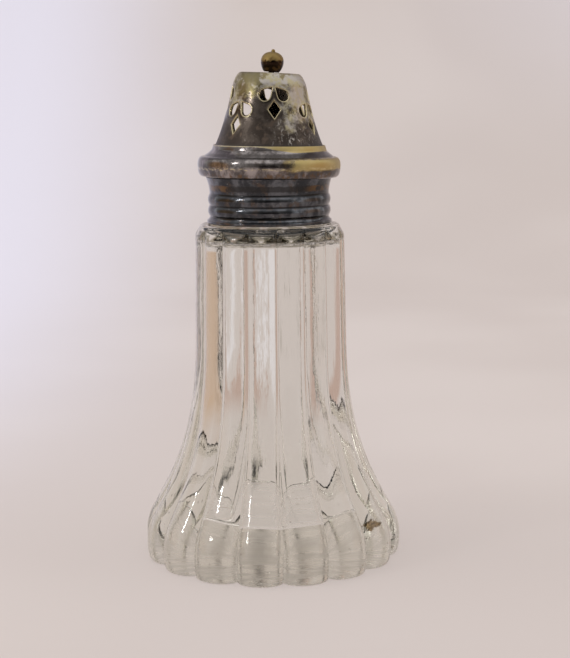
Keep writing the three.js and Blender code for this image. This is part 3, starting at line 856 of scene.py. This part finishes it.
def cover_girdle():
    """The hollow rounded shoulder of the cover, up to the ridge round the dome's foot."""
    lip_bore = GIRDLE_RIDGE_RADIUS - RIDGE_LIP
    ridge_top = GIRDLE_RIDGE_HEIGHT + RIDGE_STAND
    ledge_bore = DOME_FOOT_RADIUS - 2 * SHEET
    outline = joined(
        (GIRDLE_MOUTH, 0),
        (SKIRT_BORE, 0),
        (SKIRT_BORE, -SKIRT_DROP),
        girdle_skin(0, -SKIRT_DROP, 12),
        (GIRDLE_RIDGE_RADIUS - RIDGE_LEAN_IN, ridge_top),
        (lip_bore - RIDGE_LEAN_IN, ridge_top),
        (lip_bore, LEDGE_HEIGHT),
        (ledge_bore, LEDGE_HEIGHT),
        (ledge_bore, LEDGE_HEIGHT - SHEET),
        girdle_skin(SHEET, SHEET, 8)[::-1],
        (GIRDLE_MOUTH, SHEET),
    )
    outline = rounded(outline, GIRDLE_ROUND, 4)
    return seated(turned("rounded_girdle", outline, full_turn(METAL_COLUMNS), girdle_material()))


# Pierced dome
CROWN_HEIGHT = 31.25
CROWN_FLAT_RADIUS = 8.9
CROWN_EDGE_RADIUS = 11.35
CROWN_EDGE_DROP = 3.4
CROWN_TILT = math.radians(1.8)
CROWN_HOLE_RADIUS = 1.6
DOME_RISE = CROWN_HEIGHT - DOME_FOOT_HEIGHT
DOME_SHARES = ((0.36, 0.22), (0.74, 0.6))
# Groups of piercings: how far up the dome their lozenges are, and the angles of the groups in degrees
GROUPS = ((0.52, (6.5, 96.5, 192, 271.5)), (0.315, (-46, 65, 130, 227)))
TEARDROP_RISE = 4.35
TEARDROP_SPREAD = 13.6
TEARDROP_LEAN = 43
TEARDROP_RADIUS = 1.75
TEARDROP_REACH = 3.3
LOZENGE_WIDTH = 3.7
LOZENGE_HEIGHT = 5.3
SEAM_DEGREES = 161
DOME_GRID = 0.5
OUTLINE_STEP = 0.45
GRID_CLEARANCE = 0.15
MITRE_LIMIT = 1.6
RIM_ATTRIBUTE = "rim"
RIM_WIDTH = 0.5
INSIDE_RIM_SHARE = 0.5
DOME_SHARP_ANGLE = math.radians(60)
MERGE_DISTANCE = 1e-6
# Rings round each piercing: distance from its edge, and how far the metal stands out there
RIM_RINGS = ((0, -0.16), (0.05, -0.05), (0.14, 0.03), (0.28, 0.07), (0.48, 0.03), (0.75, 0))


def dome_profile():
    """The dome's outside from its foot to the hole in the crown."""
    foot = (DOME_FOOT_RADIUS, DOME_FOOT_HEIGHT)
    edge = (CROWN_EDGE_RADIUS, CROWN_HEIGHT - CROWN_EDGE_DROP)
    flat = (CROWN_FLAT_RADIUS, CROWN_HEIGHT)
    return joined(
        flared(foot, edge, DOME_SHARES, 40),
        bend(edge, ((edge[0] + flat[0]) / 2, flat[1]), flat, 14),
        line(flat, (CROWN_HOLE_RADIUS, CROWN_HEIGHT), 8),
    )


def teardrop(lean):
    """A drop whose point leans that far from upright."""
    tip = math.pi / 2 + math.radians(lean)
    spread = math.acos(TEARDROP_RADIUS / TEARDROP_REACH)
    around = np.linspace(tip + spread, tip - spread + 2 * math.pi, 19)
    bulb = TEARDROP_RADIUS * np.column_stack([np.cos(around), np.sin(around)])
    point = TEARDROP_REACH * np.array([math.cos(tip), math.sin(tip)])
    return with_steps(np.vstack([point, bulb]))


def lozenge():
    across, up = LOZENGE_WIDTH / 2, LOZENGE_HEIGHT / 2
    return with_steps(np.array([(0, -up), (across, 0), (0, up), (-across, 0)]))


def with_steps(corners):
    """The closed outline with long sides divided."""
    points = []
    for here, after in zip(corners, np.roll(corners, -1, axis=0)):
        parts = max(1, int(round(np.linalg.norm(after - here) / OUTLINE_STEP)))
        points.extend(line(here, after, parts)[:-1])
    return np.array(points)


def grown(outline, distance):
    """The outline moved outward by a distance, with its corners eased."""
    before, after = np.roll(outline, 1, axis=0), np.roll(outline, -1, axis=0)
    side_in, side_out = outline - before, after - outline
    normals = [np.column_stack([side[:, 1], -side[:, 0]]) for side in (side_in, side_out)]
    normals = [n / np.linalg.norm(n, axis=1)[:, None] for n in normals]
    mean = normals[0] + normals[1]
    mean /= np.linalg.norm(mean, axis=1)[:, None]
    reach = 1 / np.clip((mean * normals[0]).sum(1), 1 / MITRE_LIMIT, 1)
    return outline + mean * (distance * reach)[:, None]


def piercings():
    """(outline, degrees, height of its centre) of every piercing."""
    found = []
    for share, angles in GROUPS:
        height = DOME_FOOT_HEIGHT + DOME_RISE * share
        for degrees in angles:
            found.append((lozenge(), degrees, height))
            for side in (-1, 1):
                drop = teardrop(side * TEARDROP_LEAN)
                found.append((drop, degrees + side * TEARDROP_SPREAD, height + TEARDROP_RISE))
    return found


def inside_outline(points, outline):
    """Which points lie inside a closed outline."""
    x, y = points[:, 0], points[:, 1]
    result = np.zeros(len(points), bool)
    for (x0, y0), (x1, y1) in zip(outline, np.roll(outline, -1, axis=0)):
        if y0 == y1:
            continue
        crosses = (y0 > y) != (y1 > y)
        result ^= crosses & (x < (x1 - x0) * (y - y0) / (y1 - y0) + x0)
    return result


def pierced_dome():
    """The dome as one skin with rolled rims round its piercings, and its inside one sheet further in."""
    profile = dome_profile()
    steps = np.linalg.norm(np.diff(profile, axis=0), axis=1)
    along = np.concatenate([[0], np.cumsum(steps)])
    side = profile[: int(np.argmax(profile[:, 1] >= CROWN_HEIGHT - CROWN_EDGE_DROP)) + 1]
    seam = math.radians(SEAM_DEGREES)

    def flat_place(outline, degrees, height):
        """A punch's outline laid on the dome, unrolled at the radius of its crown's edge."""
        z = height + outline[:, 1]
        turn = math.radians(degrees) + np.arcsin(outline[:, 0] / np.interp(z, side[:, 1], side[:, 0]))
        turn = seam + np.mod(turn - seam, 2 * math.pi)
        return np.column_stack([turn * CROWN_EDGE_RADIUS, np.interp(z, side[:, 1], along[: len(side)])])

    columns = int(round(2 * math.pi * CROWN_EDGE_RADIUS / DOME_GRID))
    turns = seam + np.linspace(0, 2 * math.pi, columns + 1)
    rows = np.linspace(0, along[-1], int(round(along[-1] / DOME_GRID)) + 1)
    grid = np.array([(turn * CROWN_EDGE_RADIUS, row) for row in rows for turn in turns])
    keep = np.ones(len(grid), bool)
    coords, marks, edges, holes = [], [], [], []
    for outline, degrees, height in piercings():
        widest = flat_place(grown(outline, RIM_RINGS[-1][0] + GRID_CLEARANCE), degrees, height)
        keep &= ~inside_outline(grid, widest)
        for distance, stand in RIM_RINGS:
            ring = flat_place(grown(outline, distance), degrees, height)
            first, count = len(coords), len(ring)
            coords.extend(ring)
            marks.extend([(stand, max(0.0, 1 - distance / RIM_WIDTH))] * count)
            edges.extend((first + i, first + (i + 1) % count) for i in range(count))
        holes.append(flat_place(outline, degrees, height))
    # The grid's points have no marks, and neither has the last row, which stands for new points
    coords.extend(grid[keep])
    marks = np.vstack([marks, np.zeros((len(coords) + 1 - len(marks), 2))])
    out = delaunay_2d_cdt([Vector(c) for c in coords], edges, [], 0, MERGE_DISTANCE, True)
    flat = np.array([(v.x, v.y) for v in out[0]])
    lift, rim = marks[[ids[0] if ids else -1 for ids in out[3]]].T
    triangles = np.array([list(face) for face in out[2]])
    centres = flat[triangles].mean(1)
    solid = np.ones(len(triangles), bool)
    for hole in holes:
        solid &= ~inside_outline(centres, hole)
    return dome_from_skin(profile, along, flat, lift, rim, triangles[solid])


def dome_from_skin(profile, along, flat, lift, rim, triangles):
    """Rolls the flat skin up into the dome and closes it with an inside and edges."""
    turn = flat[:, 0] / CROWN_EDGE_RADIUS
    slope = np.gradient(profile, along, axis=0)
    radius, height, run, rise = (np.interp(flat[:, 1], along, column) for column in (*profile.T, *slope.T))
    size = np.hypot(run, rise)

    def skin(offset):
        r = radius + rise / size * offset
        return np.column_stack([r * np.sin(turn), -r * np.cos(turn), height - run / size * offset])

    vertices = np.vstack([skin(lift), skin(-SHEET - lift * INSIDE_RIM_SHARE)])
    bent = (vertices[:, 2] - DOME_FOOT_HEIGHT) / DOME_RISE
    vertices[:, 2] -= vertices[:, 0] * math.tan(CROWN_TILT) * bent
    count = len(flat)
    # Where the unrolled skin begins and ends, its points are the same points
    keys = {}
    same = np.arange(2 * count)
    for i, place in enumerate(np.round(vertices, 4)):
        same[i] = keys.setdefault(tuple(place), i)
    faces = [tuple(same[t]) for t in triangles]
    edges = dict.fromkeys(edge for a, b, c in faces for edge in ((a, b), (b, c), (c, a)))
    walls = [(b, a, same[a + count], same[b + count]) for a, b in edges if (b, a) not in edges]
    faces += [tuple(same[t[::-1] + count]) for t in triangles]
    faces += walls
    used = sorted({i for face in faces for i in face})
    renumber = {old: new for new, old in enumerate(used)}
    faces = [tuple(renumber[i] for i in face) for face in faces]
    made = mesh_object("pierced_bell", vertices[used], faces, dome_material(), DOME_SHARP_ANGLE)
    attribute = made.data.attributes.new(RIM_ATTRIBUTE, "FLOAT", "POINT")
    attribute.data.foreach_set("value", np.concatenate([rim, rim])[used].astype(np.float32))
    return seated(made)


# Sleeve
SLEEVE_FOOT = 0.2
SLEEVE_TOP = 4.9
SLEEVE_LIP_FOOT = SHEET + SEAT_GAP
SLEEVE_LIP_TOP = SLEEVE_LIP_FOOT + SLEEVE_WALL
SLEEVE_LIP_REACH = 1.2
SLEEVE_SPLIT = 1.6
SLEEVE_ROUND = 0.12
SLEEVE_COLUMNS = 160


def bezel_sleeve():
    """The split spring ring inside the girdle, with the lip that holds it there."""
    lip_radius = SLEEVE_RADIUS + SLEEVE_LIP_REACH
    outline = joined(
        (SLEEVE_BORE, SLEEVE_FOOT),
        (SLEEVE_RADIUS, SLEEVE_FOOT),
        (SLEEVE_RADIUS, SLEEVE_LIP_FOOT),
        (lip_radius, SLEEVE_LIP_FOOT),
        (lip_radius, SLEEVE_LIP_TOP),
        (SLEEVE_RADIUS, SLEEVE_LIP_TOP),
        (SLEEVE_RADIUS, SLEEVE_TOP),
        (SLEEVE_BORE, SLEEVE_TOP),
    )
    outline = rounded(outline, SLEEVE_ROUND, 2)
    half_split = math.asin(SLEEVE_SPLIT / 2 / SLEEVE_BORE)
    angles = math.pi + np.linspace(half_split, 2 * math.pi - half_split, SLEEVE_COLUMNS + 1)
    return seated(turned("split_sleeve", outline, angles, brass_material("spring_brass"), split=True))


# Finial, washer and nut: heights from the plane that the finial's base stands on
FINIAL_SHIFT = 0.5
FINIAL_LEAN = math.radians(5)
FINIAL_BASE_RADIUS = 2.3
FINIAL_ROUND_SHARE = 0.35
FINIAL_BALL = (3.55, 3.1)
FINIAL_NIPPLE = (0.6, 6.25)
FINIAL_HEIGHT = 7.0
FINIAL_EASE_SHARE = 0.95
STUD_RADIUS = 0.9
STUD_LENGTH = 4.2
FINIAL_SEAT = Matrix.Translation((FINIAL_SHIFT * MM, 0, (CROWN_HEIGHT + SEAT_GAP) * MM))
FINIAL_PLACE = FINIAL_SEAT @ Matrix.Rotation(FINIAL_LEAN, 4, "Y")
FINIAL_COLUMNS = 64


def finial():
    """The onion-shaped knob with the stud that goes through the crown."""
    ball, nipple = FINIAL_BALL, FINIAL_NIPPLE
    foot = (FINIAL_BASE_RADIUS, 0)
    ease = ball[1] + (nipple[1] - ball[1]) * FINIAL_EASE_SHARE
    outline = joined(
        (0, -STUD_LENGTH),
        (STUD_RADIUS, -STUD_LENGTH),
        (STUD_RADIUS, 0),
        sweep(foot, foot, (ball[0], ball[1] * FINIAL_ROUND_SHARE), ball, 12),
        sweep(ball, (ball[0], ease), (nipple[0], ease), nipple, 14),
        bend(nipple, (nipple[0], FINIAL_HEIGHT), (0, FINIAL_HEIGHT), 6),
    )
    made = turned("turned_knob", outline, full_turn(FINIAL_COLUMNS), brass_material("turned_brass"))
    made.data.transform(FINIAL_PLACE)
    return seated(made)


def dress_node(name, material):
    """A carried-over solid gets its material."""
    node = frame["nodes"][name]
    node.data.materials.clear()
    node.data.materials.append(material)


def place_piece(piece, body, slot, *nodes):
    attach(piece, body)
    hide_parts(*nodes)


place_piece(glass_body(), "base", "clear_glass", "glass_body", "glass_neck")
place_piece(plaster_bed(), "base", "plaster", "plaster_bed")
place_piece(collar(), "base", "silver_plate", "collar")
place_piece(bezel_sleeve(), "sleeve", "spring_brass", "bezel_sleeve")
place_piece(cover_girdle(), "cover", "silver_plate", "cover_girdle")
place_piece(pierced_dome(), "cover", "silver_plate", "pierced_dome")
place_piece(finial(), "cover", "turned_brass", "finial")
nut_metal = brass_material("nut_brass")
dress_node("finial_washer", nut_metal)
dress_node("finial_nut", nut_metal)


# Floor and backdrop, millimetres
PAPER = (0.68, 0.607, 0.577)
PAPER_SHADE = (0.634, 0.56, 0.53)
# Painted cool light, laid on the paper to the far left and high on the right.
PAINTED_COOL_LIGHT = (0.80, 0.77, 0.86)
PAPER_SEEN = (0.60, 0.53, 0.50)
PAPER_CLOUDS = ((260, 2, 0.5, EVEN, 0.4), (0.35, 0.65))
PAPER_GRAIN = (1.2, 4, 0.7, EVEN, 0.2)
PAPER_RELIEF = 0.02
PAPER_RELIEF_STRENGTH = 0.3
PAPER_ROUGHNESS = 0.9
PAPER_SPECULAR = 0.1
PAPER_EVENNESS = 0.7
COOL_LEFT = (0, -240)
COOL_FAR = (-100, 350)
COOL_RIGHT = (50, 400, 0, 0.45)
COOL_HIGH = (50, 300)
WOOD = (0.52, 0.36, 0.24)
WOOD_PINK = (0.46, 0.31, 0.25)
DULL_EDGE = (0.40, 0.35, 0.31)
WHITE_EDGE = (0.93, 0.92, 0.98)
# Bands of the room by side angle: from, to and softness in degrees, colour, share, and how near they come
ROOM_BANDS = (
    (-76, -36, 3, WOOD, 0.8, 100),
    (-34, -12.5, 0.5, WOOD_PINK, 0.8, 100),
    (-10.5, -9.3, 0.4, WHITE_EDGE, 0.4, 100),
    (13.1, 14, 0.3, DULL_EDGE, 0.7, 300),
    (36, 45, 2, WOOD_PINK, 0.8, 100),
    (60, 76, 2, WOOD_PINK, 1, 100),
)
ROOM_NEAR_SOFTNESS = 100
ROOM_FADE = (50, 200)
PAPER_WIDTH = 3000
PAPER_FRONT = -2000
PAPER_BACK = 1100
PAPER_TOP = 2200
PAPER_TURN = 500


def room_seen_by_glass(nodes):
    """The paper ahead of the object, with a painted reflection of the room's wood and of a few edges out to
    the sides.
    """
    side, away = nodes.degrees(nodes.x, nodes.y), nodes.from_axis()
    layers = []
    for low, high, soft, tone, share, nearest in ROOM_BANDS:
        past_low = nodes.span(side, low - soft, low + soft)
        before_high = nodes.span(side, high - soft, high + soft, share, 0.0)
        far = nodes.span(away, nearest, nearest + ROOM_NEAR_SOFTNESS)
        layers.append((past_low * before_high * far, tone))
    return nodes.mix(nodes.span(nodes.z, *ROOM_FADE), nodes.layered(PAPER_SEEN, *layers), PAPER_SEEN)


def stage_material():
    """Pale pinkish paper, with painted cool light making it cooler and lighter to the left. The glass shows
    it without the foot's shadow.
    """
    nodes = Finish("pale_paper")
    colour = nodes.layered(
        PAPER_SHADE,
        (nodes.patches(*PAPER_CLOUDS), PAPER),
        # Painted light: the paper is made cooler and lighter to the far left and high on the right.
        (nodes.span(nodes.x, *COOL_LEFT) * nodes.span(nodes.y, *COOL_FAR), PAINTED_COOL_LIGHT),
        (nodes.span(nodes.x, *COOL_RIGHT) * nodes.span(nodes.z, *COOL_HIGH), PAINTED_COOL_LIGHT),
    )
    nodes.set(Base_Color=colour, Roughness=PAPER_ROUGHNESS, Specular_IOR_Level=PAPER_SPECULAR)
    nodes.bump(nodes.noise(*PAPER_GRAIN), PAPER_RELIEF, PAPER_RELIEF_STRENGTH)
    through = nodes.ray("Transmission")
    # Rays through the glass see the paper with the painted reflection of the room, and without the shadow.
    even = nodes.node("Emission", {"Color": nodes.mix(through, colour, room_seen_by_glass(nodes))})
    share = nodes.any_of(nodes.ray("Camera") * PAPER_EVENNESS, through)
    nodes.put(nodes.node("MixShader", {0: share, 1: nodes.surface, 2: even}), nodes.output.inputs["Surface"])
    return nodes.material


def sweep_stage():
    """A floor that turns up into a backdrop in one smooth sheet."""
    foot = PAPER_BACK - PAPER_TURN
    angles = np.linspace(0, math.pi / 2, 25)
    turn = [(foot + PAPER_TURN * math.sin(angle), PAPER_TURN * (1 - math.cos(angle))) for angle in angles]
    run = [(PAPER_FRONT, 0), *turn, (PAPER_BACK, PAPER_TOP)]
    vertices = [(x, y, z) for y, z in run for x in (-PAPER_WIDTH / 2, PAPER_WIDTH / 2)]
    faces = [(2 * i, 2 * i + 1, 2 * i + 3, 2 * i + 2) for i in range(len(run) - 1)]
    paper = mesh_object("paper_sweep", vertices, faces, stage_material())


# Camera, as fitted to the photograph, in metres
IMAGE_WIDTH, IMAGE_HEIGHT = 570, 658
FOCAL_PIXELS = 1500.0
CAMERA_PLACE = (0, -0.4728, 0.1462)
CAMERA_PITCH = math.radians(8.87)
CAMERA_ROLL = math.radians(0.5)
CAMERA_NEAREST = 0.01
AXIS_PIXEL = 270.4
SENSOR_MM = 36.0


def add_camera():
    data = bpy.data.cameras.new("photo_camera")
    data.sensor_width = SENSOR_MM
    data.lens = FOCAL_PIXELS / IMAGE_HEIGHT * SENSOR_MM
    data.clip_start = CAMERA_NEAREST
    pan = math.atan((IMAGE_WIDTH / 2 - AXIS_PIXEL) / FOCAL_PIXELS)
    camera = bpy.data.objects.new("photo_camera", data)
    bpy.context.scene.collection.objects.link(camera)
    aim = Matrix.Rotation(-pan, 4, "Z") @ Matrix.Rotation(math.pi / 2 - CAMERA_PITCH, 4, "X")
    camera.matrix_world = Matrix.Translation(CAMERA_PLACE) @ aim @ Matrix.Rotation(-CAMERA_ROLL, 4, "Z")
    bpy.context.scene.camera = camera


# Lights and the room, in metres and watts
LIT_MIDDLE = Vector((0, 0, 0.08))
KEY_PLACE = Vector((-1.3, -0.2, 1.5))
KEY_SIZE = (1.2, 1.2)
KEY_WATTS = 7.0
KEY_COLOUR = (1, 0.99, 0.98)
WINDOW_PLACE = Vector((-0.92, -0.55, 0.60))
WINDOW_WHITE = (1, 1, 1)
PANE_SIZE = (0.05, 0.055)
PANE_STEP = (0.062, 0.067)
PANE_WATTS = 0.42
ROOM_STRENGTH = 1.12
ROOM_PALE = (1, 0.985, 0.99)
ROOM_LEFT = (0.62, 0.42, 0.26)
ROOM_RIGHT = (0.66, 0.47, 0.36)
ROOM_DIM = (0.20, 0.19, 0.18)
ROOM_DARK = (0.045, 0.04, 0.038)
GLASS_SKY = (0.56, 0.50, 0.47)
# Where the room's parts lie, by the parts of a direction of length 1
LEFT_SIDE = (-0.85, -0.97)
RIGHT_SIDE = (0.85, 0.97)
VIEWER_SIDE = (-0.45, -0.85)
VIEWER_PLACE = (-0.93, -0.985)
OVERHEAD = (0.35, 0.75)


def area_light(name, place, target, size, watts, colour):
    data = bpy.data.lights.new(name, "AREA")
    data.shape = "RECTANGLE"
    data.size, data.size_y = size
    data.energy = watts
    data.color = colour
    light = bpy.data.objects.new(name, data)
    light.location = place
    light.rotation_euler = (target - place).to_track_quat("-Z", "Y").to_euler()
    bpy.context.scene.collection.objects.link(light)
    return light


def add_window():
    """A small window of two by two panes, which glints on the metal and the glass."""
    facing = (LIT_MIDDLE - WINDOW_PLACE).normalized()
    across = facing.cross(Vector((0, 0, 1))).normalized()
    upward = across.cross(facing)
    for column in (-0.5, 0.5):
        for row in (-0.5, 0.5):
            place = WINDOW_PLACE + across * PANE_STEP[0] * column + upward * PANE_STEP[1] * row
            area_light("window_pane", place, place + facing, PANE_SIZE, PANE_WATTS, WINDOW_WHITE)


def add_room():
    """A soft room: pale behind and above, warm wood tones to the sides, dim on the viewer's side."""
    world = bpy.data.worlds.new("soft_room")
    world.use_nodes = True
    nodes = Nodes(world.node_tree, "Generated", 1.0)
    colour = nodes.layered(
        ROOM_PALE,
        (nodes.span(nodes.x, *LEFT_SIDE), ROOM_LEFT),
        (nodes.span(nodes.x, *RIGHT_SIDE), ROOM_RIGHT),
        (nodes.span(nodes.y, *VIEWER_SIDE), ROOM_DIM),
        (nodes.span(nodes.y, *VIEWER_PLACE), ROOM_DARK),
        (nodes.span(nodes.z, *OVERHEAD), ROOM_PALE),
        (nodes.ray("Transmission"), GLASS_SKY),
    )
    background = world.node_tree.nodes["Background"]
    nodes.put(colour, background.inputs["Color"])
    nodes.put(ROOM_STRENGTH, background.inputs["Strength"])
    bpy.context.scene.world = world


def add_lights():
    key = area_light("key_soft", KEY_PLACE, LIT_MIDDLE, KEY_SIZE, KEY_WATTS, KEY_COLOUR)
    key.visible_glossy = False
    add_window()
    add_room()


sweep_stage()
add_camera()
add_lights()
bpy.context.scene.view_settings.view_transform = "Standard"
